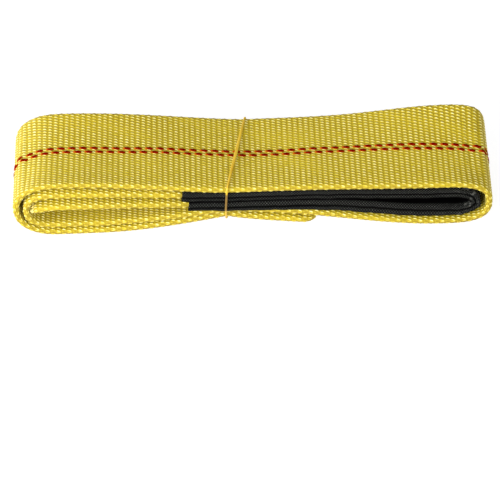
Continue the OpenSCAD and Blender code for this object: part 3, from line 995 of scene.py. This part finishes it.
def add_seam(name, path, finish):
    """Lockstitches between the points of a path, on top of the upper turn and below the lower one."""
    bm = bmesh.new()
    for (x0, y0), (x1, y1) in zip(path, path[1:]):
        for turn, up in ((UPPER, 1), (LOWER, -1)):
            outward = up * (WEB_T / 2 - STITCH_BED)
            a = Vector((x0, y0, face_z(turn, x0, y0, outward))) * MM
            b = Vector((x1, y1, face_z(turn, x1, y1, outward))) * MM
            middle = Matrix.Translation((a + b) / 2)
            lie = (b - a).to_track_quat("X", "Z").to_matrix().to_4x4()
            size = Matrix.Diagonal(((b - a).length * STITCH_SHARE, THREAD_D * MM, 2 * SEAM_PROUD * MM, 1))
            bmesh.ops.create_uvsphere(
                bm, u_segments=STITCH_SIDES, v_segments=STITCH_RINGS, radius=0.5,
                matrix=middle @ lie @ size)
    return finished(name, bm, finish, "sling")


def add_seams(finish):
    pieces = []
    span = WEB_W / 2 - SEAM_EDGE
    xs = np.linspace(SPLICE_FROM_X, SPLICE_TO_X, int((SPLICE_TO_X - SPLICE_FROM_X) / STITCH_L) + 1)
    for i in range(SEAM_COUNT):
        y = SPLICE_Y + mix(-span, span, i / (SEAM_COUNT - 1))
        pieces.append(add_seam(f"stitches_{i + 1}", [(x, y) for x in xs], finish))
        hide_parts(f"splice_seam_{i + 1}")
    span += 2 * THREAD_D
    ys = np.linspace(SPLICE_Y - span, SPLICE_Y + span, int(2 * span / STITCH_L) + 1)
    tacks = (("throat_tack", SPLICE_TO_X + 2 * THREAD_D), ("tail_tack", SPLICE_FROM_X - 2 * THREAD_D))
    for name, x in tacks:
        pieces.append(add_seam(f"{name}_stitches", [(x, y) for y in ys], finish))
        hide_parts(name)
    return pieces


# Floor and light

WHITE = (1, 1, 1, 1)
FLOOR_WHITE = (0.9, 0.9, 0.9, 1)
FLOOR_GLOW = 1.12
FLOOR_GLOW_SHARE = 0.8
FLOOR_HALF_M = 4.0
WORLD_STRENGTH = 0.3

# Lamps: name, place and size in metres, power in watts
LAMPS = (
    ("front_softbox", (-0.25, -0.62, 0.5), 0.55, 3.6),
    ("low_softbox", (-0.35, -0.65, 0.32), 0.45, 4.6),
    ("left_softbox", (-1.0, -0.3, 0.3), 0.6, 12),
    ("rear_softbox", (-0.7, 0.8, 0.3), 0.5, 3.5),
    ("right_softbox", (1.0, -0.6, 0.4), 0.6, 6.5),
)


def add_floor():
    """A floor that takes the shadow and is white to the camera, in reflections and through clear pieces."""
    floor = Finish("floor_white", Base_Color=FLOOR_WHITE, Roughness=0.9, Specular_IOR_Level=0.1)
    seen = floor.node("ShaderNodeLightPath", output="Is Camera Ray")
    glossy = floor.node("ShaderNodeLightPath", output="Is Glossy Ray")
    through = floor.node("ShaderNodeLightPath", output="Is Transmission Ray")
    glow = floor.node("ShaderNodeEmission", None, {"Color": WHITE, "Strength": FLOOR_GLOW})
    share = seen.at_least(glossy).at_least(through) * FLOOR_GLOW_SHARE
    lit = Wire(floor, floor.shader.outputs[0])
    mixed = floor.node("ShaderNodeMixShader", None, {0: share, 1: lit, 2: glow})
    floor.feed(floor.tree.nodes["Material Output"].inputs["Surface"], mixed)
    bm = bmesh.new()
    bmesh.ops.create_grid(bm, x_segments=1, y_segments=1, size=FLOOR_HALF_M)
    piece = linked("floor", bm, floor.material)


def add_lamp(name, place, size, power):
    data = bpy.data.lights.new(name, "AREA")
    data.shape = "DISK"
    data.size = size
    data.energy = power
    lamp = bpy.data.objects.new(name, data)
    lamp.location = place
    lamp.rotation_euler = (CAMERA_AIM - Vector(place)).to_track_quat("-Z", "Y").to_euler()
    bpy.context.collection.objects.link(lamp)


def add_light():
    world = bpy.data.worlds.new("studio")
    bpy.context.scene.world = world
    world.use_nodes = True
    background = world.node_tree.nodes["Background"].inputs
    background["Color"].default_value = WHITE
    background["Strength"].default_value = WORLD_STRENGTH
    for lamp in LAMPS:
        add_lamp(*lamp)


add_camera()
webbing = add_webbing(webbing_finish())
fray = add_fray(fray_finish())
tracers = [
    add_tracer("tracer_front", -1, 0, tracer_finish("tracer_front_red", 0)),
    add_tracer("tracer_rear", 1, 1, tracer_finish("tracer_rear_red", 1)),
]
sleeve = add_sleeve(sleeve_finish())
band = add_band(rubber_finish())
seams = add_seams(thread_finish())

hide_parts("webbing")
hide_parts("tracer_yarn_front")
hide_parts("tracer_yarn_rear")
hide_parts("eye_sleeve")
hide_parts("elastic_band")

add_floor()
add_light()
bpy.context.scene.view_settings.view_transform = "Standard"
